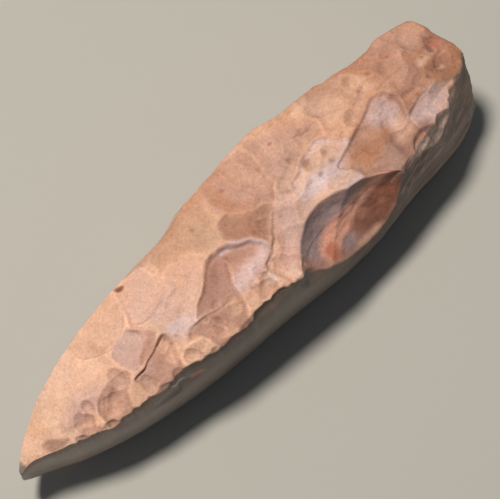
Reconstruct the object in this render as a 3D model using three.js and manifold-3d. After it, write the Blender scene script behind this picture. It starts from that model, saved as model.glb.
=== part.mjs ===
// Knapped and partly ground stone axe head, lying on one of its narrow sides.
// Millimetres, +Z up. Cutting edge at -X, butt at +X, broad faces at -Y and +Y.
import * as THREE from "three";
import { mergeVertices } from "three/addons/utils/BufferGeometryUtils.js";
import Module from "manifold-3d";

// Driving sizes
const length = 200; // cutting edge to butt
const thickness = 50; // over the two broad faces, before their swell
const height = 54; // over the two narrow sides, as the axe lies
const edgeBluntness = 0.6; // worn width of the cutting edge
const restDepth = 1.2; // how deep the underside is worn flat where it rests

// Fineness of the blank and of a flake scar
const ringsAlong = 28;
const sideSteps = 8;
const crowding = 0.72; // rings stand closer together towards both ends
const bowlSteps = 4;
const leastBowlSides = 5;
const mostBowlSides = 16;
const bowlReach = 1.4; // how far a cutter runs past its scar's rim, in scar radii
const bowlLid = 8; // its height over the surface, in % of the length

// Outlines. Each point is a place along, in % of the length from the cutting edge,
// and a distance in % of the thickness (from the mid plane, + is +Y) or of the height.
const leftArris = [[0, -3], [2, 3], [5, 10.5], [10, 20], [17, 27.5], [25, 32.5], [35, 35], [42, 36.5],
  [50, 43], [57, 44.5], [64, 45.5], [70, 41], [78, 39], [85, 35], [94, 33], [97.5, 30], [98.8, 18], [100, -2]];
const rightArris = [[0, -4], [2, -4.5], [5, -9], [10, -18], [18, -28.5], [28, -34], [37, -40.5], [47, -43],
  [58, -46], [66, -47], [75, -43], [85, -38], [90, -33], [95, -23], [98, -18], [100, -12]];
const rightFace = [[0, -4], [4.5, -10], [10, -20], [20, -32], [30, -39.5], [40, -43.5], [50, -46],
  [58, -49.5], [64, -52], [70, -52], [76, -49], [82, -46], [88, -45.5], [93, -43.5], [97, -39], [100, -31]];
const crown = [[0, 54], [1.25, 60], [7.5, 70], [20, 83], [35, 92.5], [50, 98], [65, 100], [80, 96.5],
  [92, 92], [98, 87], [100, 82]];
const keel = [[0, 35], [1.5, 28], [5, 20], [10, 13], [18, 6.5], [28, 1.5], [36, 0], [80, 0],
  [90, 3], [97, 9], [100, 18]];

// Rounding of the four sides of a cross-section, where the axe is widest
const fullWidth = 84; // % of the thickness, between the two top arrises
const leftArrisDrop = 7; // % of the height, below the crown
const rightArrisDrop = 6;
const keelCornerRise = 6;
const leftBulge = 8; // % of the thickness, outside the line between corners
const rightBulge = 7;
const lowerLeftInset = 5;
const lowerRightInset = 5;
const cornerFacing = 57; // degrees from straight up that the hollow on the corner faces

const ofLength = (percent) => percent / 100 * length;
const ofThickness = (percent) => percent / 100 * thickness;
const ofHeight = (percent) => percent / 100 * height;
const radians = THREE.MathUtils.degToRad;

// Smooth curve through an outline's points, without overshoot between them.
function outline(points) {
  const slopes = points.slice(1).map(([x, y], i) => (y - points[i][1]) / (x - points[i][0]));
  const tangents = points.map((_, i) => {
    const before = slopes[i - 1] ?? slopes[i];
    const after = slopes[i] ?? slopes[i - 1];
    return before * after > 0 ? 2 * before * after / (before + after) : 0;
  });
  return (x) => {
    const last = points.length - 2;
    const next = points.findIndex((p) => p[0] > x);
    const i = Math.min(next < 1 ? (next < 0 ? last : 0) : next - 1, last);
    const [x0, y0] = points[i];
    const [x1, y1] = points[i + 1];
    const span = x1 - x0;
    const t = THREE.MathUtils.clamp((x - x0) / span, 0, 1);
    const tt = t * t;
    const ttt = tt * t;
    return (2 * ttt - 3 * tt + 1) * y0 + (3 * tt - 2 * ttt) * y1
      + (ttt - 2 * tt + t) * span * tangents[i] + (ttt - tt) * span * tangents[i + 1];
  };
}
const leftArrisAt = outline(leftArris);
const rightArrisAt = outline(rightArris);
const rightFaceAt = outline(rightFace);
const crownAt = outline(crown);
const keelAt = outline(keel);

// The four sides of the cross-section at one place along the axe. Each is a line between
// two corners with a parabola's swell: top, right (-Y), bottom, left (+Y).
function sidesAt(at) {
  const spread = Math.max(leftArrisAt(at) - rightArrisAt(at), 0);
  const fullness = Math.min(spread / fullWidth, 1);
  const blunt = edgeBluntness / 2;
  const top = ofHeight(crownAt(at));
  const bottom = ofHeight(keelAt(at));
  const low = Math.min(ofHeight(keelCornerRise) * fullness, (top - bottom) / 4);
  const leftDrop = Math.min(ofHeight(leftArrisDrop) * fullness, (top - bottom) / 4);
  const rightDrop = Math.min(ofHeight(rightArrisDrop) * fullness, (top - bottom) / 4);
  const topLeft = [ofThickness(leftArrisAt(at)) + blunt, top - leftDrop];
  const topRight = [ofThickness(rightArrisAt(at)) - blunt, top - rightDrop];
  const lowRight = [ofThickness(rightFaceAt(at) + lowerRightInset * fullness) - blunt, bottom + low];
  const lowLeft = [ofThickness(leftArrisAt(at) - lowerLeftInset * fullness) + blunt, bottom + low];
  const swell = (leftDrop + rightDrop) / 2;
  return {
    top: { from: topLeft, to: topRight, swell: [0, swell] },
    right: { from: topRight, to: lowRight, swell: [-ofThickness(rightBulge) * fullness, 0] },
    bottom: { from: lowRight, to: lowLeft, swell: [0, -low - restDepth * fullness] },
    left: { from: lowLeft, to: topLeft, swell: [ofThickness(leftBulge) * fullness, 0] },
  };
}
const sideNames = ["top", "right", "bottom", "left"];

// A point of the blank: place along in %, side, and share of the way across that side.
function blankPoint(at, sideName, share) {
  const { from, to, swell } = sidesAt(at)[sideName];
  const rise = 4 * share * (1 - share);
  return new THREE.Vector3(
    ofLength(at - 50),
    from[0] + (to[0] - from[0]) * share + swell[0] * rise,
    from[1] + (to[1] - from[1]) * share + swell[1] * rise,
  );
}

// The blank: a capped cylinder whose rings become the cross-sections.
function blankGeometry() {
  const around = 4 * sideSteps;
  const geometry = new THREE.CylinderGeometry(1, 1, 1, around, ringsAlong);
  const position = geometry.getAttribute("position");
  for (let i = 0; i < position.count; i += 1) {
    const t = position.getY(i) + 0.5;
    const at = 100 * (t - crowding * Math.sin(2 * Math.PI * t) / (2 * Math.PI));
    const turn = Math.atan2(position.getX(i), position.getZ(i)) / (2 * Math.PI);
    const step = Math.round((turn + 1) * around) % around;
    const onRim = Math.hypot(position.getX(i), position.getZ(i)) > 0.5;
    const sideName = sideNames[Math.floor(step / sideSteps)];
    const point = onRim
      ? blankPoint(at, sideName, (step % sideSteps) / sideSteps)
      : blankPoint(at, "top", 0.5).lerp(blankPoint(at, "bottom", 0.5), 0.5);
    position.setXYZ(i, point.x, point.y, Math.max(point.z, 0));
  }
  return geometry;
}

// Flake scars. Place along in %; place over in % of the thickness on the narrow sides and
// in % of the height on the broad faces; long, wide and deep in % of the length; turn is the
// angle of the long way from +X.
const scar = (at, over, long, wide, turn, deep) => ({ at, over, long, wide, turn, deep });

// Upper narrow side, from the cutting edge to the butt: scars struck from the -Y arris,
// then those struck from the +Y arris, then the small ones on the ridges between them
const topScars = [
  scar(6.6, -11, 4.1, 4.1, 70, 0.4),
  scar(12.4, -21, 5, 4.1, 0, 0.45),
  scar(18.8, -23, 10, 10.1, 90, 1.15),
  scar(21.8, -31, 5.2, 5.5, 80, 1),
  scar(27, -27, 11.9, 8.2, 14, 1.25),
  scar(33.2, -34, 6.4, 6.2, 70, 1),
  scar(36.8, -6, 21.7, 13.2, 44, 0.9),
  scar(38.4, -37, 11.9, 8.4, -6, 1.35),
  scar(41.6, -14, 14.1, 8.9, 46, 1.3),
  scar(46.9, -15, 12.5, 9.8, -20, 1.3),
  scar(46.6, -39, 9.1, 8.4, 80, 1.1),
  scar(56.6, -18, 27.4, 11.3, 62, 1.3),
  scar(68.8, -7, 12.5, 12.5, 70, 0.8),
  scar(66.2, -20, 13.7, 12.5, -10, 1.1),
  scar(78.4, -19, 19.8, 14.4, 16, 1.5),
  scar(89, -22, 10.9, 10.8, 60, 1),
  scar(2.6, 3, 10.3, 8.4, 20, 0.3),
  scar(12.5, 12, 20.5, 15.6, 8, 0.5),
  scar(24.6, 26, 14.1, 12.5, 0, 0.9),
  scar(32.2, 20, 14.8, 11, 84, 0.95),
  scar(43.4, 30, 19.4, 13.7, -5, 0.9),
  scar(56, 27, 14.8, 14.4, 80, 1.3),
  scar(52.4, -1, 13.2, 9.6, -58, 1.1),
  scar(68, 30, 17.1, 14.9, -10, 0.9),
  scar(76.4, 26, 12.5, 12.5, 30, 0.8),
  scar(84.6, 20, 13.7, 13.2, -20, 0.9),
  scar(92.4, 19, 10.7, 13.2, 60, 0.9),
  scar(95.4, -6, 6.8, 9.6, 80, 0.7),
  scar(98.2, 8, 6.8, 5.3, 80, 1.2),
  scar(25.2, -2.5, 8.4, 6.5, 66, 0.75),
  scar(28.4, -4, 7.5, 4.6, -50, 0.6),
  scar(49.4, 28, 6.8, 6.5, 60, 0.7),
];

// Upper corner at -Y: the two great scars of the hollow, which take the arris away
const cornerScars = [
  scar(62.8, 1.4, 20, 21.4, -18, 5.4),
  scar(67.6, -3, 25, 23.4, -18, 5.2),
];

// Broad face at -Y: the flaked butt end, and a scar that the grinding left near the cutting edge
const rightScars = [
  scar(55.8, 82, 8, 7, 20, 0.8),
  scar(26.6, 66, 9, 4, 8, 0.35),
  scar(47, 88, 9, 4.4, 6, 0.5),
  scar(79, 76, 15, 8, 6, 0.8),
  scar(85, 86, 8, 6, 6, 0.9),
  scar(83, 46, 15, 10, -12, 0.7),
  scar(92, 66, 9, 10, 40, 0.6),
  scar(92.5, 34, 9, 8, -30, 0.6),
];

// Broad face at +Y: ground smooth towards the cutting edge, flaked at the butt
const leftScars = [
  scar(94, 64, 12, 13, 60, 1),
  scar(92, 30, 12, 12, 0, 0.9),
  scar(81.5, 74, 15, 13, -10, 1.1),
  scar(79, 36, 17, 14, 12, 1.1),
  scar(66, 66, 17, 14, 20, 1.1),
  scar(63, 28, 16, 11, -10, 0.7),
  scar(51.5, 78, 15, 11, -14, 0.9),
  scar(39, 84, 13, 7, 6, 0.6),
];

// Butt end: place along is in % of the thickness here, and place over in % of the height
const buttScars = [
  scar(-4, 66, 9, 11, 60, 0.8),
  scar(-14, 40, 11, 9, 20, 0.7),
  scar(4, 30, 9, 9, 100, 0.7),
];

// Underside: a row of scars down each of its long edges, clear of the resting flat
const undersideRows = { from: 14, to: 94, step: 15, over: [30, -36] };
const undersideScar = { long: 15, wide: 5, deep: 0.8 };
const undersideTaper = 22; // how far from either end the rows close in to the middle
const swayStep = 1.7; // the scars' places and sizes sway along the row, by up to 1 %

function undersideScars() {
  const { long, wide, deep } = undersideScar;
  const scars = [];
  undersideRows.over.forEach((over, row) => {
    const first = undersideRows.from + row * undersideRows.step / 2;
    for (let at = first; at < undersideRows.to; at += undersideRows.step) {
      const sway = Math.sin(at * swayStep + row * 2);
      const closeIn = Math.min(1, at / undersideTaper, (100 - at) / undersideTaper);
      scars.push(scar(at + sway, over * closeIn, long + 2 * sway, wide, 10 * sway, deep));
    }
  });
  return scars;
}

// A frame on the upper corner at -Y: it faces out between the two sides that meet there,
// and over moves it up the slope, in % of the length.
function cornerFrame(at, over) {
  const up = radians(90 - cornerFacing);
  const normal = new THREE.Vector3(0, -Math.cos(up), Math.sin(up));
  const along = new THREE.Vector3(1, 0, 0);
  const upSlope = new THREE.Vector3().crossVectors(normal, along);
  return { point: blankPoint(at, "right", 0).addScaledVector(upSlope, ofLength(over)), along, normal };
}

// A frame on the butt end, which faces +X.
function buttFrame(across, over) {
  const point = new THREE.Vector3(ofLength(50), ofThickness(across), ofHeight(over));
  return { point, along: new THREE.Vector3(0, 1, 0), normal: new THREE.Vector3(1, 0, 0) };
}

// A surface frame of the blank: point, outward normal and the direction along the axe.
const alongStep = 0.5; // how far to either side its slopes are taken, in % and as a share of the side
const shareStep = 0.05;

function surfaceFrame(sideName, at, over) {
  if (sideName === "corner") return cornerFrame(at, over);
  if (sideName === "butt") return buttFrame(at, over);
  const { from, to } = sidesAt(at)[sideName];
  const narrow = sideName === "top" || sideName === "bottom";
  const axis = narrow ? 0 : 1;
  const target = narrow ? ofThickness(over) : ofHeight(over);
  const share = (target - from[axis]) / (to[axis] - from[axis]);
  const point = blankPoint(at, sideName, share);
  const before = blankPoint(at - alongStep, sideName, share);
  const along = blankPoint(at + alongStep, sideName, share).sub(before).normalize();
  const above = blankPoint(at, sideName, share - shareStep);
  const across = blankPoint(at, sideName, share + shareStep).sub(above);
  const normal = new THREE.Vector3().crossVectors(across, along).normalize();
  return { point, along, normal };
}

// The cutter of one scar: a bowl that dips into the surface by the scar's depth, closed above.
function scarGeometry(sideName, { at, over, long, wide, turn, deep }) {
  const { point, along, normal } = surfaceFrame(sideName, at, over);
  const depth = ofLength(deep);
  const lid = ofLength(bowlLid);
  const profile = [];
  for (let step = 0; step <= bowlSteps; step += 1) {
    const out = bowlReach * step / bowlSteps;
    profile.push(new THREE.Vector2(out, depth * (out * out - 1)));
  }
  profile.push(new THREE.Vector2(bowlReach, lid), new THREE.Vector2(0, lid));
  const sides = Math.min(leastBowlSides + Math.round(Math.min(long, wide)), mostBowlSides);
  const geometry = new THREE.LatheGeometry(profile, sides);
  geometry.rotateX(Math.PI / 2);
  geometry.scale(ofLength(long) / 2, ofLength(wide) / 2, 1);
  geometry.rotateZ(radians(turn));
  const beside = new THREE.Vector3().crossVectors(normal, along);
  const frame = new THREE.Matrix4().makeBasis(along, beside, normal).setPosition(point);
  return geometry.applyMatrix4(frame);
}

const sameSpot = 1e-4;
const wasm = await Module();
wasm.setup();

function solidFrom(geometry) {
  const bare = geometry.clone();
  bare.deleteAttribute("normal");
  bare.deleteAttribute("uv");
  const merged = mergeVertices(bare, sameSpot);
  return new wasm.Manifold(new wasm.Mesh({
    numProp: 3,
    vertProperties: new Float32Array(merged.getAttribute("position").array),
    triVerts: new Uint32Array(merged.index.array),
  }));
}

function geometryFrom(solid) {
  const mesh = solid.getMesh();
  const geometry = new THREE.BufferGeometry();
  geometry.setAttribute("position", new THREE.BufferAttribute(mesh.vertProperties, 3));
  geometry.setIndex(new THREE.BufferAttribute(mesh.triVerts, 1));
  return geometry;
}

// Knapping: every scar is taken off the blank.
let stone = solidFrom(blankGeometry());
const scarsBySide = {
  top: topScars,
  corner: cornerScars,
  right: rightScars,
  left: leftScars,
  butt: buttScars,
  bottom: undersideScars(),
};
for (const [sideName, scars] of Object.entries(scarsBySide)) {
  for (const one of scars) {
    stone = stone.subtract(solidFrom(scarGeometry(sideName, one)));
  }
}

// The origin is the middle of the box at the height of the resting flat.
const stoneGeometry = geometryFrom(stone);
stoneGeometry.computeBoundingBox();
const middle = stoneGeometry.boundingBox.getCenter(new THREE.Vector3());
stoneGeometry.translate(-middle.x, -middle.y, -stoneGeometry.boundingBox.min.z);
stoneGeometry.computeVertexNormals();

const flint = new THREE.MeshStandardMaterial({ color: 0xb5907a, roughness: 0.72, metalness: 0 });
const axeHead = new THREE.Mesh(stoneGeometry, flint);
axeHead.name = "axe_head";

const axe = new THREE.Group();
axe.add(axeHead);

export default axe;
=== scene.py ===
import bpy
import math
import numpy as np
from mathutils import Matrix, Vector


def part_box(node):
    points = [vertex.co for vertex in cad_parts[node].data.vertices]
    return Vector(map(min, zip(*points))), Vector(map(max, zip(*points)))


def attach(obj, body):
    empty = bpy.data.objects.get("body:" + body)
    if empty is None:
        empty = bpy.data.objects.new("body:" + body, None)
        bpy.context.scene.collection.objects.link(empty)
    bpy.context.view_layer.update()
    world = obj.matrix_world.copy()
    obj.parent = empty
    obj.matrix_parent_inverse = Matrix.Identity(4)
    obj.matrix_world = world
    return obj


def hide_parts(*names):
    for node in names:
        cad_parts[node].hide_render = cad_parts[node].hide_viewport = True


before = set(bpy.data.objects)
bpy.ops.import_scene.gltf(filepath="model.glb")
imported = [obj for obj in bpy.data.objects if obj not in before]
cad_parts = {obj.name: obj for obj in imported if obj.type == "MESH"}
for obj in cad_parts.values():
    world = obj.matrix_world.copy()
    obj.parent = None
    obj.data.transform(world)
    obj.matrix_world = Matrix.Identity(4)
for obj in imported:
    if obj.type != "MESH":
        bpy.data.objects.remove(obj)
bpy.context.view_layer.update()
bpy.ops.object.select_all(action='DESELECT')
dice = np.random.default_rng(41)
print("frame loaded")

# Stone axe head, in mm. Outlines are places along in % of the length from the cutting edge,
# with a distance in % of the thickness (+ is +Y) or of the height
axeHead = {
    "length": 200,
    "thickness": 50,
    "height": 54,
    "blunt": 0.6,  # worn width of the cutting edge
    "rest": 1.2,  # worn flat underneath
    "leftArris": [(0, -3), (2, 3), (5, 10.5), (10, 20), (17, 27.5), (25, 32.5), (35, 35),
        (42, 36.5), (50, 43), (57, 44.5), (64, 45.5), (70, 41), (78, 39), (85, 35), (94, 33),
        (97.5, 30), (98.8, 18), (100, -2)],
    "rightArris": [(0, -4), (2, -4.5), (5, -9), (10, -18), (18, -28.5), (28, -34), (37, -40.5),
        (47, -43), (58, -46), (66, -47), (75, -43), (85, -38), (90, -33), (95, -23), (98, -18),
        (100, -12)],
    "rightFace": [(0, -4), (4.5, -10), (10, -20), (20, -32), (30, -39.5), (40, -43.5), (50, -46),
        (58, -49.5), (64, -52), (70, -52), (76, -49), (82, -46), (88, -45.5), (93, -43.5),
        (97, -39), (100, -31)],
    "crown": [(0, 54), (1.25, 60), (7.5, 70), (20, 83), (35, 92.5), (50, 98), (65, 100), (80, 96.5),
        (92, 92), (98, 87), (100, 82)],
    "keel": [(0, 35), (1.5, 28), (5, 20), (10, 13), (18, 6.5), (28, 1.5), (36, 0), (80, 0), (90, 3),
        (97, 9), (100, 18)],
    "fullWidth": 84,
    "leftDrop": 7,
    "rightDrop": 6,
    "keelRise": 6,
    "leftBulge": 8,
    "rightBulge": 7,
    "lowerInset": 5,
    "cornerFacing": 57,  # degrees from straight up
    "reach": 1.4,  # a strike's cutter past its rim, in radii
    "spine": (-92, 80),  # inward rays end on it
    "rings": (6, 396, 28),  # of the grid, over the tip, along and over the butt
    "steps": (92, 76, 24, 38),  # of the grid, on the top, right, bottom and left sides
}
length, thickness, height = axeHead["length"], axeHead["thickness"], axeHead["height"]

# Great scars, the same as the solid's: at %, over %, long %, wide %, turn in degrees, deep %
strikes = {
    "corner": [(62.8, 1.4, 20, 21.4, -18, 5.4), (67.6, -3, 25, 23.4, -18, 5.2)],
    "right": [(55.8, 82, 8, 7, 20, 0.8), (26.6, 66, 9, 4, 8, 0.35), (47, 88, 9, 4.4, 6, 0.5),
        (79, 76, 15, 8, 6, 0.8), (85, 86, 8, 6, 6, 0.9), (83, 46, 15, 10, -12, 0.7),
        (92, 66, 9, 10, 40, 0.6), (92.5, 34, 9, 8, -30, 0.6)],
    "left": [(94, 64, 12, 13, 60, 1), (92, 30, 12, 12, 0, 0.9), (81.5, 74, 15, 13, -10, 1.1),
        (79, 36, 17, 14, 12, 1.1), (66, 66, 17, 14, 20, 1.1), (63, 28, 16, 11, -10, 0.7),
        (51.5, 78, 15, 11, -14, 0.9), (39, 84, 13, 7, 6, 0.6)],
    "butt": [(-4, 66, 9, 11, 60, 0.8), (-14, 40, 11, 9, 20, 0.7), (4, 30, 9, 9, 100, 0.7)],
    "bottom": [],
}
for row, over in enumerate([30, -36]):  # two rows underneath
    for at in np.arange(14 + row * 7.5, 94, 15):
        sway = math.sin(at * 1.7 + row * 2)
        nearEnd = min(1, at / 22, (100 - at) / 22)
        strikes["bottom"].append((at + sway, over * nearEnd, 15 + 2 * sway, 5, 10 * sway, 0.8))

# Small strikes, seeded but for the notches: places in %, sizes in mm, depths as shares of the size
chips = {
    "rightArris": {"runs": [(6, 57, 40), (76, 98, 17)], "depth": (.08, .17),
                   "facing": np.array([0, -.77, .64])},
    "notches": [(80.4, -.7, 8, .2), (84.8, 0, 11, .3), (89.6, -.4, 8, .17), (49, -.6, 5, .08),
                (53.6, -.6, 7, .07), (41, -.4, 6, .08)],
    "crown": {"run": (12, 56, 40), "inward": (1, 22), "size": (2, 6), "turn": (20, 150),
              "depth": (.12, .24)},
    "butt": {"count": 90, "run": (56, 97), "size": (3.5, 11), "depth": (.09, .15)},
    "leftArris": {"run": (58, 99, 2.3), "size": (2, 5), "turn": (-30, 30), "depth": .14},
}

# Depths of the finer relief in mm
relief = {
    "upper": .8, "upperSwell": .7,  # between the facets
    "facet": .95, "facetContrast": 1.4,  # of a row 1.1 deep, and for each mm more in the row
    "facetLean": 2.8, "facetBowl": .45, "facetSwell": .55,
    "frontBites": 2.6, "buttBites": 2,  # out of the right arris
    "flaking": .26, "streaks": .16, "ground": .03, "hollow": .7,
}

# Ripples of the relief and the colours: size in mm, octaves, seed
ripples = {
    "waverAlong": (6, 4, 5), "waverOver": (6, 4, 15), "upper": (11, 4, 25), "flaking": (3.4, 4, 35),
    "streaks": (1.6, 2, 45), "ground": (5, 2, 55), "buttStreaks": (3, 3, 65), "warmth": (11, 4, 75),
    "cloud": (5, 5, 85), "rust": (6, 3, 95), "hollow": (7, 4, 105), "bites": (6, 3, 115),
    "shadedSlate": (9, 3, 125), "border": (3, 2, 135), "hidden": (16, 4, 145), "battered": (1.8, 3, 155),
}

# Marks of colour: places in %, sizes in mm
marks = {
    "battered": [(48, -41), (52, -37), (56, -38), (57.6, -43), (57, -52), (52, -52), (48, -48)],
    "scratches": {"count": 34, "at": (75, 97), "over": (-84, -46), "long": (1, 3.5),
                  "slope": (1.5, 4), "half": .4, "strength": .32},
    "specks": {"count": 26, "at": (44, 99), "over": (-36, 36), "half": (.4, 1), "strength": .55},
}

# Colours of the stone as they look in the light
shades = {
    "peach": (233, 189, 163),
    "sand": (220, 177, 152),
    "rose": (221, 178, 158),
    # lilacSheen and paleSheen are painted sheen, the glancing light on tilted facets
    "lilacSheen": (200, 166, 158),
    "paleSheen": (222, 199, 202),
    "tan": (195, 151, 133),
    "clay": (180, 134, 117),
    "umber": (170, 124, 109),
    "amber": (217, 172, 140),
    "ochre": (186, 134, 105),
    "white": (232, 208, 196),
    "bark": (162, 115, 92),
    "straw": (196, 154, 126),
    "plum": (175, 144, 135),
    "rust": (128, 70, 46),
    "red": (197, 122, 96),
    "dusk": (172, 146, 146),  # lilac in the shade of the hollow
    "blush": (236, 174, 152),
    "brown": (134, 86, 68),
    # grey of the ground face, darkened with painted shade for the side in view
    "shadedSlate": (150, 136, 128),
    "gravel": (132, 117, 110),
    "bowl": (168, 126, 112),
}

# Facets of the upper side: deep mm, lean (mm per mm towards +X and +Y), rim mm, shade,
# then the outline (at %, over %, own rim mm)
facets = [
    ("rose", 0.5, (0, -.02), 5, [(10, -2), (14, 0), (17, -5), (16, -14), (12, -14), (9.5, -9)]),
    ("tan", 0.9, (0, -.1), 1, [(5.4, -4.5), (6.6, -4), (7.6, -8), (8.6, -14), (6, -13)]),
    ("tan", 0.9, (0, -.1), 1, [(10.2, -16.5), (11.4, -15), (12.6, -18), (13.8, -22.5), (11, -22),
        (10, -19)]),
    ("sand", 1.25, (.01, -.02), .9, [(18.8, 26), (19, 17), (20.2, 13), (22, 9.5), (24, 6.5),
        (26, 9.5), (28.5, 16), (30, 25), (29.5, 33), (24, 34), (19.5, 31)]),
    ("rose", 1.3, (-.04, 0), 1.2, [(30.6, 33), (29.6, 24), (29.1, 15), (28.4, 9), (30.5, 3),
        (33, 3.5), (35.7, 8, .7), (35.8, 15, .7), (36.4, 24, .7), (35.8, 33), (33, 36)]),
    ("lilacSheen", 1.2, (0, .03), 1, [(22.6, -1), (23, 4), (24.2, 7), (26, 7.5), (27.4, 8), (28.3, 2),
        (28.4, -2), (27.2, -7), (25.6, -12), (24.2, -15.5), (23.2, -11)]),
    ("tan", 1.1, (.02, -.06), 1.2, [(27.6, 7.5), (29.8, -3.5), (29.4, -9), (28.4, -12.5),
        (26, -15.5), (25, -14.5), (27, -7.5), (28.6, -1)]),
    ("straw", 0.9, (0, 0), 4, [(36.8, 36), (37, 26), (37, 19), (39.5, 18.5), (42, 14.5), (44.4, 6),
        (46, 4), (48.4, 5), (49.4, 12), (50.6, 18), (50.4, 28), (51, 40), (45, 41), (39, 39)]),
    ("rose", 1.3, (0, -.03), 3, [(30.4, -10), (31, -5.5, 1), (33, -1.5, 1), (35, 2.5, 1),
        (37, 6, 1), (36.6, 13, 1), (37.2, 18), (39.4, 18), (41.6, 15), (43, 11), (44.4, 5), (45, 1),
        (42, -3), (39, -10), (36.8, -18), (35, -24), (32.5, -28), (30.6, -22)]),
    ("tan", 1.9, (0, -.08), 2, [(15, -19), (15.8, -13), (17.2, -9.5), (19, -7.3, 1), (21, -8.6, 1),
        (22.4, -10), (22.4, -15), (21, -20), (20, -26), (18.8, -34), (15.6, -32)]),
    ("sand", 1.6, (0, -.06), 1.2, [(20.6, -21.5), (22, -18.2, .6), (23.4, -20), (23.4, -26),
        (22.4, -32), (19.6, -34), (20, -26)]),
    ("clay", 2.3, (.02, -.02), 2, [(22.8, -18.6, .5), (24.6, -18.6, .5), (26, -17, .5),
        (28, -14.8, .5), (30.4, -11.4, .5), (31, -15), (30.9, -22), (30, -29), (28.6, -38),
        (24, -37), (22.4, -29), (22.6, -23)]),
    ("sand", 1.3, (0, -.05), 1.2, [(31, -29), (33, -27.6), (35, -29.4), (36, -34), (35.8, -42),
        (31.6, -39), (30.4, -34)]),
    ("clay", 2.3, (0, -.05), 2, [(33.2, -26.4, .6), (34.4, -22.3, .5), (38, -23.4, .5),
        (40, -26, .5), (42.6, -27.8, .6), (43.4, -33), (42.4, -40), (40.8, -48), (37, -46),
        (35.8, -40), (35.6, -33), (34.6, -28.4)]),
    ("umber", 2.4, (.03, -.03), 2.4, [(36.4, -20, 1.2), (38, -13.4, 1.2), (40, -8.6, 1.2),
        (42, -3, 1.2), (43.6, 1.8, 1.2), (45.2, 2.8, .9), (46, -2, .9), (45.8, -8, .9),
        (45, -15, .9), (44.2, -22), (43.6, -30), (41.6, -28), (39.6, -24.5), (37, -22)]),
    ("tan", 2.2, (0, .05), 2.2, [(46, 1.4, .8), (47.6, .8, .8), (49.6, -5, .8), (51.4, -11, .8),
        (52.4, -18, .8), (51.8, -24, 1.2), (48.4, -27.4), (46.6, -31), (43.8, -31), (44.4, -20),
        (45.8, -8)]),
    ("sand", 1.4, (0, -.04), 1.6, [(44, -31), (47, -29.5), (49, -29), (50.2, -33), (49.6, -38),
        (47.4, -41), (45, -41), (43.4, -37)]),
    ("bark", 1.2, (.02, 0), 2.4, [(48.8, 14.6), (50.6, 16.2, .8), (52, 14.2), (53.2, 9.4),
        (55.2, 5.4), (57.2, 4.2), (58.4, .4), (56.6, -4.6), (54.8, -11), (53, -18), (52.4, -15),
        (50.8, -8.4), (48.8, -2.6), (47.6, 3), (48, 9)]),
    ("tan", 1.5, (.03, 0), 3, [(51.6, 42), (50.8, 30, 1), (51, 20, 1), (53, 10, 1), (55, 5.5, 1),
        (57, 5), (58.8, .4, 1), (60, 8, 1), (60.2, 15, 1), (60.8, 25), (61.2, 36), (60.4, 46),
        (55, 47)]),
    ("rose", 1.7, (-.02, -.03), 2.6, [(58.6, .6, 1), (60, 9), (61.6, 8), (62.6, 1, 1), (62, -7, 1),
        (61.5, -13, 1), (61, -21), (59, -26), (57.4, -34), (56, -46), (52, -47), (50.8, -39),
        (49.8, -32), (50.4, -27, .8), (52.4, -23.6, .8), (54, -16.6, .8), (56, -8.6, .8),
        (57.6, -2.6, .8)]),
    ("tan", 1.3, (0, -.02), 4, [(61.4, 36), (61, 24), (60.8, 14), (62.4, 4), (66, 8), (69.6, 12),
        (72, 12), (73, 22), (70, 33), (66, 40), (62, 46)]),
    ("sand", 1.0, (0, -.02), 3, [(70.6, 33), (73.4, 22), (73, 12), (75, 8), (79, 12), (79.4, 24),
        (77.6, 36), (73, 40)]),
    ("paleSheen", 1.5, (0, .02), 2.4, [(62.6, 1, 1), (64, 2.4), (66, 7, .8), (68, 10, .8),
        (70, 11.2, .8), (71.4, 10, .8), (72.3, 4, .8), (73.4, -1, .8), (74.9, -5, .8),
        (72, -9.4, .8), (70, -14, .8), (71, -20, .7), (71.9, -28, .7), (70, -34), (64, -32),
        (61, -22), (61.6, -12, 1), (62.3, -4, 1)]),
    ("sand", 1.2, (0, -.02), 3, [(75.4, -3), (79, 2), (82, 7), (84, 10), (84.6, 20), (83, 30),
        (80, 36), (79.4, 24), (79, 12), (75, 7), (73.6, 0)]),
    ("plum", 2.4, (0, -.02), 3, [(70, -14, .9), (72, -9.6, .9), (75, -5, .9), (78, -1, .9),
        (80, 2, .9), (82.4, 7, 2.4), (84.2, 6, 3.4), (85.2, -1, 3.4), (85.2, -10, 2),
        (84.5, -18, 1), (84.3, -26, 1), (84.8, -36), (80, -42), (75, -42), (72.4, -32), (71.8, -27),
        (71, -20)]),
    ("clay", 1.0, (0, 0), 3.4, [(80.6, 36), (83.6, 29), (85.2, 20), (86.4, 11), (89.4, 10.4),
        (91, 16), (88.4, 24), (86.6, 33), (84, 38)]),
    ("tan", 1.1, (.02, 0), 2.4, [(87, 33), (88.6, 24), (91.2, 15), (94.6, 13), (96.6, 18), (97, 26),
        (96, 34), (91, 36)]),
    ("clay", 1.3, (0, -.02), 2, [(85.6, 6), (86.4, 10, .7), (89.4, 9.6, .7), (92, 6), (92.2, -2),
        (91, -9), (88, -11), (85.8, -8)]),
    ("lilacSheen", 1.4, (0, -.05), 1.8, [(84.4, -22, .7), (86, -19.4, .7), (88, -16.6, .7),
        (90.4, -14.6, .7), (92.6, -17), (94.4, -20), (92, -29), (89.6, -36), (86, -40),
        (84.6, -33)]),
    ("sand", 1.9, (0, -.06), 1.2, [(89.4, -25.2, .6), (92, -22, .6), (94.6, -19, .6), (95.6, -22),
        (93, -31), (90, -36)]),
    ("ochre", 1.0, (0, 0), 2, [(92.4, -3), (95, -2), (96.6, -5), (98.4, -9), (97.6, -14), (94, -15),
        (92, -11)]),
    ("clay", 1.7, (.05, 0), 1.4, [(95.6, 5, .6), (95.9, 11, .6), (97, 16.4, .6), (98.2, 17),
        (101, 10), (100, 0), (97.6, -2.4), (96.2, .4, .6)]),
]
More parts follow.
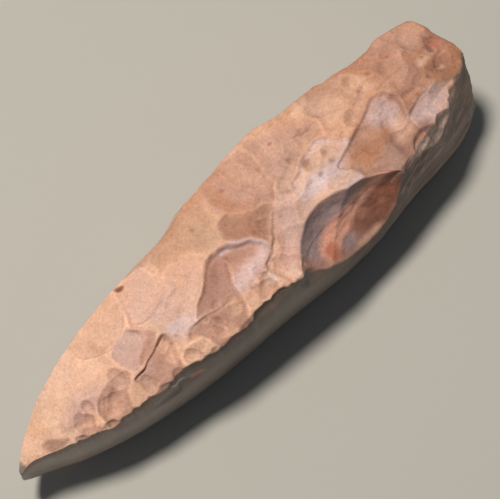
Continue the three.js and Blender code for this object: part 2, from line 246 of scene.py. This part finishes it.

# Colour alone, among it painted sheen and painted shade: shade, strength, soft mm, outline
patches = [
    ("lilacSheen", .7, 6, [(11, -1), (15, 2), (18, -6), (16, -15), (11.5, -12)]),
    ("amber", .6, 5, [(6, 12), (8, 10), (8, -2), (6.4, -3), (5.6, 4)]),
    ("lilacSheen", .6, 4, [(23.4, -19.5), (26.4, -17.6), (27, -21), (24, -24)]),
    ("lilacSheen", .7, 5, [(31, 4), (34, 7), (37, 9), (36.4, 3), (33.4, 0), (31, -2)]),
    ("paleSheen", .7, 5, [(31.4, -11), (34, -10), (36.6, -17), (35.4, -21), (32.4, -19)]),
    ("paleSheen", .8, 2, [(45.6, 2.6), (48.4, 1.4), (50.4, -5), (52.4, -13), (52.4, -19), (51, -12),
        (48.4, -4), (46, -.4)]),
    ("paleSheen", .7, 5, [(45, -18), (50, -16), (52, -19), (50.6, -25), (46.6, -28.5), (44, -27)]),
    ("paleSheen", 1, 6, [(64, -9), (70, -8), (71.4, -16), (64, -16)]),
    ("sand", .9, 6, [(61.5, -16), (70, -18), (71, -27), (64, -24)]),
    ("sand", .9, 6, [(63, 1), (68, 8), (72, 3), (72, -5), (66, -6), (62.6, -7)]),
    ("ochre", .95, 6, [(71, -14), (76, -11), (80, -14), (81, -21), (78, -27), (73.6, -29),
        (72, -22)]),
    ("clay", .5, 5, [(72, -10.4), (75, -6), (79, 0), (82, 6), (80, -1), (76, -9)]),
    ("paleSheen", .5, 6, [(79, -2), (84, 3), (84.6, -8), (82.6, -20), (80.4, -12)]),
    ("peach", .5, 5, [(81.5, -20), (84, -16), (84, -30), (81, -31)]),
    ("ochre", .6, 3, [(51.2, 38), (53.4, 38), (53.6, 20), (55, 9), (52.6, 10), (51.2, 20)]),
    ("sand", .8, 2, [(29, -16), (30.2, -13), (30.8, -20), (30, -28), (28.8, -32), (29.2, -22)]),
    ("brown", .6, 7, [(92.5, -2), (98, -7), (97.6, -13), (93, -13)]),
    ("peach", .8, 3, [(92.6, 3), (94, 4), (94.6, 1), (93.4, -1.6), (92.4, 0)]),
    ("white", .45, 2, [(94.4, -9), (95.6, -9.4), (95.4, -11), (94.4, -10.6)]),
    ("paleSheen", .55, 6, [(85, -22), (88, -19), (91, -18), (93, -24), (90, -31), (86, -31)]),
    ("dusk", .95, 5, [(55.5, -36), (57, -29), (61, -24), (66, -27), (71, -31), (70, -41), (65, -49),
        (61, -57), (58, -62), (56, -50)]),
    ("brown", .9, 5, [(66.4, -58), (69.4, -52), (73, -45), (76, -38), (78, -44), (77, -60),
        (73, -78), (68, -84), (66, -70)]),
    ("blush", .95, 4, [(58.6, -58), (62, -48), (66, -43), (70, -38), (74, -35), (75.4, -40),
        (71.6, -51), (68.4, -60), (64.4, -70), (60, -73)]),
    ("red", .9, 2.4, [(59.2, -62), (60.8, -61), (62, -66), (61.6, -72), (60, -73)]),
    ("ochre", .6, 3, [(67.4, -62), (69, -60), (69.6, -66), (68, -70)]),
    ("dusk", .9, 2.4, [(62.6, -71), (64.6, -69), (65.8, -75), (64.6, -83), (62.8, -80)]),
    ("sand", .7, 3, [(62, -86), (66, -82), (72, -81), (71, -90), (64, -94)]),
    # painted shade on the upper wall of the facet at 46–52 %
    ("umber", .7, 4, [(46.2, 0), (49, -4.6), (51.4, -12), (49.6, -15), (46, -11)]),
    ("lilacSheen", .6, 5, [(58.4, -3), (60.4, -4), (60, -20), (56, -36), (53, -44), (52, -38),
        (54.4, -24)]),
    ("ochre", .6, 3, [(35, 35), (42, 37), (50, 43), (57, 45), (57, 41), (50, 38), (44, 33),
        (37, 32)]),
    ("brown", .75, 1.4, [(95.8, 3), (96.2, 10), (97, 15), (97.7, 12), (97.1, 6), (96.6, 1)]),
    ("red", .6, 3, [(97.6, 10), (98.6, 11), (99.4, 4), (98, 0), (96.8, 3)]),
    ("white", .6, 2.4, [(48.4, -32), (50, -31.6), (50.8, -36), (49.6, -38.6), (48.2, -36)]),
    ("rust", .95, .9, [(30.2, 33.6), (31, 34.4), (32, 33), (31.4, 30.8), (30.6, 31.4)]),
    ("red", 1, 1.4, [(29.8, -50.6), (31.4, -50), (32, -54), (30.6, -56), (29.6, -54)]),
    ("white", .9, 1, [(26.2, -41.6), (27.4, -43.4), (28.8, -46.4), (28, -46.2), (26.6, -44)]),
    # painted shade in the notch below the right arris at the butt
    ("brown", .5, 3, [(79, -33), (82, -31), (84.5, -29), (87, -30), (86, -36), (80, -39)]),
    ("rust", .5, 1.2, [(66, 5), (66.8, 7), (67.8, 5.6), (67, 3.4), (66.2, 3)]),
    ("rust", .45, 1.2, [(63, 2.4), (64.2, 4), (65, 2.6), (64, 1.6)]),
    ("rust", .35, 1.2, [(70.4, 21), (71, 22.4), (71.6, 20.6), (70.8, 19.8)]),
    ("rust", .4, 2, [(81, 28), (81.8, 31), (82.6, 28.6), (81.8, 26)]),
    ("rust", .9, .6, [(64.8, 31.6), (65.1, 32.6), (65.5, 31.8), (65.1, 31)]),
]

# Thin cracks and step edges: deep mm, half width mm, then their line; the deeper ones also get more
# painted shade
cracks = [
    (.3, .35, [(83.6, 8.6), (85.4, 9.6), (87.4, 10), (89.4, 9.2)]),
    (.5, .4, [(84.3, -23.4), (85.6, -20.4), (87, -18.4), (88.4, -16), (90.6, -14.6)]),
    (.2, .35, [(89.2, -25.4), (91, -23), (92.4, -22), (94.8, -19)]),
    (.12, .4, [(27.2, 8), (28.4, 2), (29.6, -3.4)]),
    (.5, .42, [(48, -28), (50.4, -26.4), (51.8, -24.2), (53, -20.6), (54.4, -14.4), (56, -8.6),
        (57.6, -2.6)]),
    (.14, .4, [(76.6, 16.4), (77.8, 17.4), (78.6, 19)]),
    (.5, .42, [(32.6, -27), (33.4, -25.4), (34.2, -22.6), (36, -22), (38, -23), (40, -25.6),
        (42.6, -27.8)]),
    (.4, .4, [(49.6, 15.6), (50.6, 16.4), (51.8, 15)]),
    (.15, .35, [(23.4, -18.6), (24.6, -18.8), (26, -17.4), (28, -15), (30.6, -11.6)]),
    (.4, .4, [(67.6, 24.6), (69.4, 22.4), (71, 20.4)]),
]


def smoothCurve(points):
    xs, ys = np.array(points, float).T
    slope = np.diff(ys) / np.diff(xs)
    before, after = np.r_[slope[0], slope], np.r_[slope, slope[-1]]
    both = before + after
    tangent = np.where(before * after > 0, 2 * before * after / np.where(both == 0, 1, both), 0)

    def valueAt(x):
        i = np.clip(np.searchsorted(xs, x, side="right") - 1, 0, len(xs) - 2)
        span = xs[i + 1] - xs[i]
        t = np.clip((x - xs[i]) / span, 0, 1)
        return ((2 * t**3 - 3 * t**2 + 1) * ys[i] + (3 * t**2 - 2 * t**3) * ys[i + 1]
                + (t**3 - 2 * t**2 + t) * span * tangent[i] + (t**3 - t**2) * span * tangent[i + 1])
    return valueAt


line = {name: smoothCurve(axeHead[name])
        for name in ("leftArris", "rightArris", "rightFace", "crown", "keel")}


# Corners of the cross-section and the swell of its four sides
def section(at):
    spread = np.maximum(line["leftArris"](at) - line["rightArris"](at), 0)
    fullness = np.minimum(spread / axeHead["fullWidth"], 1)
    top, bottom = line["crown"](at) * height / 100, line["keel"](at) * height / 100
    quarter = (top - bottom) / 4
    low, leftDrop, rightDrop = [np.minimum(axeHead[k] * height / 100 * fullness, quarter)
                                for k in ("keelRise", "leftDrop", "rightDrop")]
    half = axeHead["blunt"] / 2
    inset = axeHead["lowerInset"] * fullness
    corners = [(line["leftArris"](at) * thickness / 100 + half, top - leftDrop),
               (line["rightArris"](at) * thickness / 100 - half, top - rightDrop),
               ((line["rightFace"](at) + inset) * thickness / 100 - half, bottom + low),
               ((line["leftArris"](at) - inset) * thickness / 100 + half, bottom + low)]
    nothing = np.zeros_like(top)
    swells = [(nothing, (leftDrop + rightDrop) / 2),
              (-axeHead["rightBulge"] * thickness / 100 * fullness, nothing),
              (nothing, -low - axeHead["rest"] * fullness),
              (axeHead["leftBulge"] * thickness / 100 * fullness, nothing)]
    return corners, swells


def blank(at, side, share):
    corners, swells = section(at)
    rise = 4 * share * (1 - share)
    result = [length * (at - 50) / 100]
    for axis in (0, 1):
        start = np.choose(side, [c[axis] for c in corners])
        end = np.choose(side, [corners[(k + 1) % 4][axis] for k in range(4)])
        swell = np.choose(side, [s[axis] for s in swells])
        result.append(start + (end - start) * share + swell * rise)
    return np.stack(np.broadcast_arrays(*result), -1)


def unit(v):
    return v / np.maximum(np.linalg.norm(v, axis=-1, keepdims=True), 1e-9)


def ease(t):
    t = np.clip(t, 0, 1)
    return t * t * (3 - 2 * t)


# Where a strike lands: point, direction along the axe, outward normal
def landing(sideName, at, over):
    if sideName == "butt":
        point = np.array([length / 2, at * thickness / 100, over * height / 100])
        return point, np.array([0., 1, 0]), np.array([1., 0, 0])
    if sideName == "corner":
        up = math.radians(90 - axeHead["cornerFacing"])
        normal = np.array([0, -math.cos(up), math.sin(up)])
        slope = np.cross(normal, [1, 0, 0])
        point = blank(np.float64(at), 1, 0.) + slope * over * length / 100
        return point, np.array([1., 0, 0]), normal
    side = ["top", "right", "bottom", "left"].index(sideName)
    corners, _ = section(np.float64(at))
    axis = side % 2
    start, end = corners[side][axis], corners[(side + 1) % 4][axis]
    share = (over * (height if axis else thickness) / 100 - start) / (end - start)
    along = unit(blank(np.float64(at + .5), side, share) - blank(np.float64(at - .5), side, share))
    across = blank(np.float64(at), side, share + .05) - blank(np.float64(at), side, share - .05)
    return blank(np.float64(at), side, share), along, unit(np.cross(across, along))


# Vertices above a strike's bowl move along their inward rays until they lie on it
def strike(spots, rays, where, long, wide, turn, deep, power=2):
    point, along, normal = where
    beside = np.cross(normal, along)
    c, s = math.cos(math.radians(turn)), math.sin(math.radians(turn))
    axes = np.stack([(along * c + beside * s) / (long / 2), (beside * c - along * s) / (wide / 2),
                     normal], -1)

    def above(q):
        local = (q - point) @ axes
        out = np.hypot(local[:, 0], local[:, 1])
        return local[:, 2] - deep * (out**power - 1), out, local[:, 2]
    high, out, rise = above(spots)
    hit = np.nonzero((high > 0) & (out < axeHead["reach"]) & (rise < 16))[0]
    near, far = np.zeros(len(hit)), np.full(len(hit), 20.)
    for _ in range(16):
        mid = (near + far) / 2
        still = above(spots[hit] + rays[hit] * mid[:, None])[0] > 0
        near, far = np.where(still, mid, near), np.where(still, far, mid)
    spots[hit] += rays[hit] * near[:, None]
    return hit


# A small strike; its vertices are returned
def chip(where, size, turn, depth, power=3, stretch=1.4):
    return strike(spots, rays, where, size * stretch, size, turn, size * depth, power)


# Distance from a line, the width given at its nearest place, and whether it goes round
def fromLine(places, curve, closed):
    a, b = (curve, np.roll(curve, -1, 0)) if closed else (curve[:-1], curve[1:])
    p, a, b = places[:, None], a[None], b[None]
    edge = (b - a)[..., :2]
    t = np.clip(((p - a[..., :2]) * edge).sum(-1) / (edge**2).sum(-1), 0, 1)
    far = np.hypot(*np.moveaxis(p - a[..., :2] - edge * t[..., None], -1, 0))
    nearest = far.argmin(1)[:, None]
    width = np.take_along_axis(a[..., 2] * (1 - t) + b[..., 2] * t, nearest, 1)[:, 0]
    reach = edge[..., 0] * (p[..., 1] - a[..., 1]) / np.where(edge[..., 1] == 0, 1e-9, edge[..., 1])
    crosses = ((a[..., 1] > p[..., 1]) != (b[..., 1] > p[..., 1])) & (p[..., 0] < a[..., 0] + reach)
    return far.min(1), width, crosses.sum(1) % 2 == 1


# Signed mm inside a closed outline through its points, and the rim width there
def inside(places, outline, rim, margin=3):
    p = np.array([(q[0] * length / 100, q[1] * thickness / 100, q[2] if len(q) > 2 else rim)
                  for q in outline])
    t = np.arange(0, 1, 1 / 5)[:, None, None]
    a, b, c, d = (np.roll(p, k, 0)[None] for k in (1, 0, -1, -2))
    curve = .5 * (2 * b + (c - a) * t + (2 * a - 5 * b + 4 * c - d) * t**2
                  + (3 * b - a - 3 * c + d) * t**3)
    curve[..., 2] = (b + (c - b) * t)[..., 2]
    curve = curve.transpose(1, 0, 2).reshape(-1, 3)
    low, high = curve[:, :2].min(0) - margin, curve[:, :2].max(0) + margin
    near = np.nonzero(((places > low) & (places < high)).all(1))[0]
    far, width, within = fromLine(places[near], curve, True)
    return near, np.where(within, far, -far), width


# Seeded value noise from -1 to 1
def noise(places, size, seed):
    lattice = np.random.default_rng(seed).uniform(-1, 1, (32, 32, 32))
    cell = places / size + seed * 3.7
    base = np.floor(cell).astype(int)
    t = cell - base
    t = t * t * (3 - 2 * t)
    total = 0
    for corner in np.ndindex(2, 2, 2):
        weight = np.prod([t[:, k] if corner[k] else 1 - t[:, k] for k in range(3)], 0)
        total = total + weight * lattice[tuple((base[:, k] + corner[k]) % 32 for k in range(3))]
    return total


def layers(places, size, count, seed):
    total = sum(noise(places, size / 2**k, seed + k) / 2**k for k in range(count))
    return total / (2 - .5**(count - 1))


def ripple(name, places):
    return layers(places, *ripples[name])


# From a picture's colour to the scene's linear one
def light(shade):
    c = np.array(shade) / 255
    return np.where(c < .04045, c / 12.92, ((c + .055) / 1.055)**2.4)


def tint(where, colour, cover):
    tone[where] += (colour - tone[where]) * cover[:, None]


def rows(collection, name, width=3, kind=float):
    values = np.empty(len(collection) * width, kind)
    collection.foreach_get(name, values)
    return values.reshape(-1, width)


# Grid wrapped round the blank
tip, middle, butt = axeHead["rings"]
nAlong, nAround = tip + middle + butt, sum(axeHead["steps"])
bpy.ops.mesh.primitive_grid_add(x_subdivisions=nAlong, y_subdivisions=nAround, size=2)
axe = bpy.context.object
axe.name = "axe"
flat = rows(axe.data.vertices, "co")
ring = np.rint((flat[:, 0] + 1) / 2 * nAlong).astype(int)
step = np.rint((flat[:, 1] + 1) / 2 * nAround).astype(int) % nAround
starts = np.cumsum((0,) + axeHead["steps"])
side = np.searchsorted(starts, step, side="right") - 1  # 0 top, 1 right, 2 bottom, 3 left
share = (step - starts[side]) / np.array(axeHead["steps"])[side]
t = np.clip((ring - tip) / middle, 0, 1)
at = 100 * (t - .3 * np.sin(2 * np.pi * t) / (2 * np.pi))
spots = blank(at, side, share)
corners, _ = section(at)
centre = np.stack([spots[:, 0], sum(c[0] for c in corners) / 4, sum(c[1] for c in corners) / 4], -1)
towardPole = np.clip(np.minimum(ring / tip, (nAlong - ring) / butt), 0, 1)[:, None]
spots = centre + (spots - centre) * towardPole
spots[:, 2] = np.maximum(spots[:, 2], 0)
spine = centre.copy()
spine[:, 0] = np.clip(spots[:, 0], *axeHead["spine"])
rays = unit(spine - spots)

# Place on the unrolled skin in mm: along, then over the top from the mid plane and on down the
# faces, with the underside far off
mm = np.array([length, thickness]) / 100
downRight, downLeft = corners[1][1] - spots[:, 2], corners[0][1] - spots[:, 2]
farOff = np.full(len(at), -200.)
over = np.choose(side, [spots[:, 1], corners[1][0] - downRight, farOff, corners[0][0] + downLeft])
skin = np.stack([at * length / 100, over], -1)
skin = skin + .9 * np.stack([ripple("waverAlong", spots), ripple("waverOver", spots)], -1)
print("blank", len(spots))

# Great scars, then chips along the arrises and over the top
beforeScars = spots.copy()
for sideName, scars in strikes.items():
    for a, o, long, wide, turn, deep in scars:
        long, wide, deep = np.array([long, wide, deep]) * length / 100
        strike(spots, rays, landing(sideName, a, o), long, wide, turn, deep)
    if sideName == "corner":
        inHollow = ease(np.linalg.norm(spots - beforeScars, axis=1) / 1.4)
kind = chips["rightArris"]
for a in np.concatenate([dice.uniform(*run) for run in kind["runs"]]):
    size = 1 + 4.4 * dice.uniform(0, 1)**2
    point, along, _ = landing("corner", a + dice.uniform(-.5, .5), dice.uniform(-.7, .5))
    turn = dice.uniform(0, 180)
    chip((point, along, kind["facing"]), size, turn, dice.uniform(*kind["depth"]), 2.5)
for a, o, size, depth in chips["notches"]:
    chip(landing("corner", a, o), size, 12, depth)
chipped = []
kind = chips["crown"]
for a in dice.uniform(*kind["run"]):
    size = dice.uniform(*kind["size"])
    where = landing("top", a, line["rightArris"](a) + dice.uniform(*kind["inward"]))
    turn = dice.uniform(*kind["turn"])
    chipped.append(chip(where, size, turn, dice.uniform(*kind["depth"]), 2.5, 1.5))
kind = chips["butt"]
for _ in range(kind["count"]):
    a, size = dice.uniform(*kind["run"]), dice.uniform(*kind["size"])
    where = landing("top", a, dice.uniform(line["rightArris"](a) + 3, line["leftArris"](a)))
    chipped.append(chip(where, size, dice.uniform(0, 180), dice.uniform(*kind["depth"])))
kind = chips["leftArris"]
for a in np.arange(*kind["run"]):
    size, turn = dice.uniform(*kind["size"]), dice.uniform(*kind["turn"])
    chip(landing("top", a, line["leftArris"](a) - 1), size, turn, kind["depth"])
print("struck")

# Facets of the upper side. They die out down the right face, at the tip, at the butt and
# far down the left face; below the right arris the face takes the depth at its arris
off = over - corners[1][0]  # mm inward from the right arris
onTop = skin - np.stack([0 * off, np.where(side == 1, np.minimum(off, 0), 0)], -1)
upper = np.where(side == 1, ease(1 + off / 15), side != 2)
upper = upper * ease((60 - over) / 8) * ease(at / 5) * (1 - ease((at - 97) / 4))
depth = upper * (relief["upper"] + relief["upperSwell"] * ripple("upper", spots))
warm = (.25 * ease((at - 30) / 12) + .75 * ease((at - 58) / 30))[:, None]
tone = light(shades["peach"]) * (1 - warm) + light(shades["ochre"]) * 1.05 * warm
for shade, deep, lean, rim, outline in facets:
    near, gap, width = inside(onTop, outline, rim)
    middlePoint = np.mean([(q[0], q[1]) for q in outline], 0) * mm
    own = relief["facet"] + relief["facetContrast"] * (deep - 1.1)
    own = own + (onTop[near] - middlePoint) @ np.array(lean) * relief["facetLean"]
    own = own + relief["facetBowl"] * ease(gap / 6)
    own = own + relief["facetSwell"] * layers(spots[near], 8, 3, int(outline[0][0] * 10))
    blend = ease((gap + .8) / (.7 + width * .45)) * (1 - inHollow[near])
    depth[near] += (own * upper[near] - depth[near]) * blend
    tint(near, light(shades[shade]), ease((gap + 1) / (.6 + width)) * .85)
for hit in chipped:
    fresh = light(shades[dice.choice(["peach", "sand", "tan", "clay", "rose"])])
    onButt = at[hit] > 56
    tint(hit, fresh * (1 - .12 * onButt)[:, None], .4 - .15 * onButt)

# Bites out of the right arris, the same on both sides of it
bites = np.abs(ripple("bites", np.stack([at * mm[0], 0 * at, 0 * at], -1)))
bites = bites * ease((at - 3) / 5) * (1 - inHollow) * (side < 2)
bites = bites * np.exp(-(off / np.where(off > 0, 3, 8))**2)
bites = bites * np.where(at < 57, relief["frontBites"], relief["buttBites"])

crackShade = np.zeros(len(spots))
for deep, half, points in cracks:
    ends = (points[0], points[-1])
    curve = np.array([(q[0] * mm[0], q[1] * mm[1], half * (.2 if q in ends else 1))
                      for q in points])
    low, high = curve[:, :2].min(0) - 3, curve[:, :2].max(0) + 3
    near = np.nonzero(((skin > low) & (skin < high)).all(1))[0]
    far, half, _ = fromLine(skin[near], curve, False)
    depth[near] += deep * np.exp(-(far / half)**2) * (.45 + .3 * noise(spots[near], 1.5, 7))
    # painted shade along the crack, stronger the deeper it is
    crackShade[near] = np.maximum(crackShade[near], np.exp(-(far / half / 1.3)**2) * min(1, deep * 1.1))

# The faces are ground smooth near the edge and flaked, with streaks, at the butt
faces = 1 - ease(off - .2 + .6 * ripple("border", spots)) * ease((corners[0][0] + 14 - over) / 9)
faces = np.where(side == 2, 1, faces)
ground = faces * (1 - ease((at - 52) / 16)) * (1 - inHollow)
ground = ground * np.where(side < 2, ease((-off - 2) / 3), 1)
rough = 1 - ground
flaking = relief["flaking"] * (1 + ripple("flaking", spots))
streaks = relief["streaks"] * (1 + ripple("streaks", spots * [.35, 1, 1])) * faces
depth += rough * (flaking + streaks)
depth += ground * relief["ground"] * (1 + ripple("ground", spots))
depth += inHollow * relief["hollow"] * ripple("hollow", spots)

# Depth is taken inwards; beside the right arris straight down, so its line stays
moved = rays * np.maximum(depth, 0)[:, None]
beside = np.where(side == 1, ease((off + 20) / 8), 1 - ease(off / 7))
moved[:, 1] *= 1 - beside * (1 - inHollow) * (side < 2)
spots = spots + moved
spots[:, 1] += bites
axe.data.vertices.foreach_set("co", (spots / 1000).ravel())
axe.data.update()
normals = rows(axe.data.vertex_normals, "vector")
upward = -normals[:, 2] * np.sign((normals * rays).sum(1))
print("knapped")

# Faces: grey where ground, with painted shade on the side in view that deepens from 8 to 38 %
# along; darker with streaks at the butt, tan on the side out of view
# painted shade: the grey face in view darkens along its middle
shadeAlong = (1 - ease((at - 8) / 30) * .6)[:, None]
shadedSlateTone = light(shades["shadedSlate"]) * (1 + .3 * ripple("shadedSlate", spots))[:, None] * shadeAlong
buttTone = light(shades["gravel"]) * (1 + .6 * ripple("buttStreaks", spots * [.3, 1, 1.6]))[:, None]
faceTone = shadedSlateTone + (buttTone - shadedSlateTone) * ease((at - 70) / 12)[:, None]
hiddenTone = light(shades["tan"]) * (.84 + .3 * ripple("hidden", spots))[:, None]
inView = np.maximum(ease((6 - spots[:, 1]) / 12), 1 - ease((at - 2) / 2))[:, None]
faceTone = hiddenTone + (faceTone - hiddenTone) * inView
# where the surface turns from up it takes the face tone, with its painted shade
turned = np.where((side == 1) | (side == 0) & (off < 3), 1 - ease((upward - .3) / .3), faces)
turned = np.maximum(turned, (side == 1) * ease((-off - 1.4) / 1.4))
turned = np.maximum(turned, np.where(at > 74, faces, 1 - ease((at - .9) / .5)))
everywhere = slice(None)
tint(everywhere, faceTone, turned * (1 - inHollow) * .92)
tint(everywhere, light(shades["bowl"]), inHollow)
for shade, strength, soft, outline in patches:
    near, gap, _ = inside(skin, outline, soft, soft)
    cover = strength * ease((gap + soft / 2) / soft)
    if outline[0][0] > 54 and outline[0][1] < -35:  # these belong to the great hollow
        cover = cover * inHollow[near]
    tint(near, light(shades[shade]), cover)

# Battered pale arris, scratches on the butt's face, rust specks
near, gap, _ = inside(skin, marks["battered"], 3)
cover = .5 * ease(gap / 3) * ease((ripple("battered", spots[near]) - .05) * 5)
tint(near, light(shades["white"]), cover)
kind = marks["scratches"]
for _ in range(kind["count"]):
    a, o, far = [dice.uniform(*kind[k]) for k in ("at", "over", "long")]
    ends = [(a, o), (a + far, o + far * dice.uniform(*kind["slope"]))]
    scratch = np.array([(p * mm[0], q * mm[1], 1) for p, q in ends])
    near = np.nonzero(np.abs(skin - scratch[0, :2]).max(1) < 12)[0]
    away = fromLine(skin[near], scratch, False)[0] / kind["half"]
    tint(near, light(shades["white"]), kind["strength"] * np.exp(-away**2))
kind = marks["specks"]
for _ in range(kind["count"]):
    speck = np.array([dice.uniform(*kind["at"]), dice.uniform(*kind["over"])]) * mm
    size = dice.uniform(*kind["half"])
    near = np.nonzero(np.abs(skin - speck).max(1) < 3)[0]
    away = np.hypot(*(skin[near] - speck).T) / size
    tint(near, light(shades["rust"]), kind["strength"] * np.exp(-away**2))

# Mottling, warm and cool
cloud = (.13 + .12 * ease((at - 50) / 12)) * ripple("cloud", spots)
tone = tone * (1 + ripple("warmth", spots)[:, None] * [.04, -.07, -.15]) * (1 + cloud)[:, None]
tint(everywhere, light(shades["ochre"]), ease((ripple("rust", spots) - .38) * 5) * rough * .35)
# painted shade in the cracks and steps
tone *= 1 - .55 * crackShade[:, None]
painted = axe.data.attributes.new("tone", 'FLOAT_COLOR', 'POINT')
painted.data.foreach_set("color", np.c_[tone, np.ones(len(tone))].ravel())
polished = axe.data.attributes.new("ground", 'FLOAT', 'POINT')
polished.data.foreach_set("value", ground)
print("coloured")

bpy.ops.object.mode_set(mode='EDIT')
bpy.ops.mesh.select_all(action='SELECT')
bpy.ops.mesh.remove_doubles(threshold=1e-6)
bpy.ops.mesh.normals_make_consistent(inside=False)
bpy.ops.object.mode_set(mode='OBJECT')
bpy.ops.object.modifier_add(type='SMOOTH')
axe.modifiers["Smooth"].factor = .4
axe.modifiers["Smooth"].iterations = 1
bpy.ops.object.modifier_apply(modifier="Smooth")
bpy.ops.object.shade_smooth()

# Into the box of the solid
co = rows(axe.data.vertices, "co")
low, high = (np.array(v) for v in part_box("axe_head"))
co = low + (co - co.min(0)) / (co.max(0) - co.min(0)) * (high - low)
axe.data.vertices.foreach_set("co", co.ravel())
axe.data.update()
print("fitted to the solid's box")

# Arrises are paler, as wear and painted highlight, and creases darker as painted shade, by how far
# a vertex stands out from its neighbours
i, j = rows(axe.data.edges, "vertices", 2, int).T
total, count = np.zeros_like(co), np.zeros(len(co))
for u, v in ((i, j), (j, i)):
    np.add.at(total, u, co[v])
    np.add.at(count, u, 1)
proud = ((co - total / count[:, None]) * rows(axe.data.vertex_normals, "vector")).sum(1) * 1000
wearAndShade = axe.data.attributes.new("wearAndShade", 'FLOAT', 'POINT')
buttHalf = ease((co[:, 0] + .01) / .03)
wearAndShade.data.foreach_set("value", np.clip(proud / .05, -1, 1) * (1 - .55 * buttHalf))


# Shader maths on sockets
class Wire:
    def __init__(self, nodes, socket):
        self.nodes, self.socket = nodes, socket

    def maths(self, operation, a, b):
        return self.nodes.add("Math", {"operation": operation}, [a, b])

    def __add__(self, other):
        return self.maths('ADD', self, other)

    def __radd__(self, other):
        return self.maths('ADD', other, self)

    def __sub__(self, other):
        return self.maths('SUBTRACT', self, other)

    def __rsub__(self, other):
        return self.maths('SUBTRACT', other, self)

    def __mul__(self, other):
        return self.maths('MULTIPLY', self, other)

    def __rmul__(self, other):
        return self.maths('MULTIPLY', other, self)


class Nodes:
    def __init__(self, material):
        self.tree = material.node_tree
        self.look = self.tree.nodes["Principled BSDF"]

    def put(self, socket, value):
        if isinstance(value, Wire):
            self.tree.links.new(value.socket, socket)
        else:
            socket.default_value = value

    def add(self, kind, settings, inputs, output=0):
        node = self.tree.nodes.new("ShaderNode" + kind)
        for name, value in settings.items():
            setattr(node, name, value)
        for key, value in (inputs.items() if isinstance(inputs, dict) else enumerate(inputs)):
            self.put(node.inputs[key], value)
        return Wire(self, node.outputs[output])


# Stone: painted tones with a speckled grain, smoother and glossier where ground
stone = bpy.data.materials.new("stone")
stone.use_nodes = True
nodes = Nodes(stone)
place = nodes.add("TexCoord", {}, {}, "Object")
tones = nodes.add("Attribute", {"attribute_name": "tone"}, {}, "Color")
smooth = nodes.add("Attribute", {"attribute_name": "ground"}, {}, "Fac")
edge = nodes.add("Attribute", {"attribute_name": "wearAndShade"}, {}, "Fac")
grain = nodes.add("TexNoise", {}, {"Vector": place, "Scale": 1900, "Detail": 2, "Roughness": .7})
speck = nodes.add("TexNoise", {}, {"Vector": place, "Scale": 900, "Detail": 1, "Roughness": .6})
mottle = nodes.add("TexNoise", {}, {"Vector": place, "Scale": 260, "Detail": 4, "Roughness": .6})
# edge adds the arrises' wear and painted highlight and the creases' painted shade
lightness = 1 + (grain - .5) * .6 + (speck - .5) * .44 + (mottle - .5) * .34 + edge * .13
toned = nodes.add("VectorMath", {"operation": 'SCALE'}, {0: tones, "Scale": lightness})
nodes.put(nodes.look.inputs["Base Color"], toned)
nodes.put(nodes.look.inputs["Roughness"], .66 - smooth * .3 + (speck - .5) * .2)
nodes.put(nodes.look.inputs["Normal"], nodes.add("Bump", {}, {
    "Strength": 1 - smooth * .75, "Distance": .00012, "Height": grain * .6 + speck + mottle * 1.6}))
nodes.look.inputs["Specular IOR Level"].default_value = .5
axe.data.materials.append(stone)
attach(axe, "root")
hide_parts("axe_head")

# Floor
bpy.ops.mesh.primitive_plane_add(size=6, location=(0, 0, 0))
floor = bpy.context.object
pale = bpy.data.materials.new("pale floor")
pale.use_nodes = True
pale.node_tree.nodes["Principled BSDF"].inputs["Base Color"].default_value = (0.5, 0.51, 0.48, 1)
pale.node_tree.nodes["Principled BSDF"].inputs["Roughness"].default_value = 0.9
floor.data.materials.append(pale)

# Light
bpy.ops.object.light_add(type='AREA', location=(-0.12, 0.3, 1.3))
key = bpy.context.object
key.data.shape = 'DISK'
key.data.size = 0.22
key.data.energy = 16.6
key.data.color = (1.0, 0.9, 0.8)
key.rotation_euler = (Vector((0, 0, 0)) - key.location).to_track_quat('-Z', 'Y').to_euler()
world = bpy.data.worlds.new("world")
world.use_nodes = True
world.node_tree.nodes["Background"].inputs["Color"].default_value = (0.86, 0.92, 1.0, 1)
world.node_tree.nodes["Background"].inputs["Strength"].default_value = 0.1
bpy.context.scene.world = world
bpy.context.scene.view_settings.view_transform = 'Standard'

# Camera
azimuth = math.radians(-45)
elevation = math.radians(73)
target = Vector((0.00588, 0.00106, 0.025))
back = Vector((math.sin(azimuth) * math.cos(elevation),
               -math.cos(azimuth) * math.cos(elevation), math.sin(elevation)))
bpy.ops.object.camera_add(location=target + back * 0.8)
camera = bpy.context.object
camera.rotation_euler = (-back).to_track_quat('-Z', 'Y').to_euler()
camera.data.sensor_width = 36
camera.data.lens = 174.1
bpy.context.scene.camera = camera
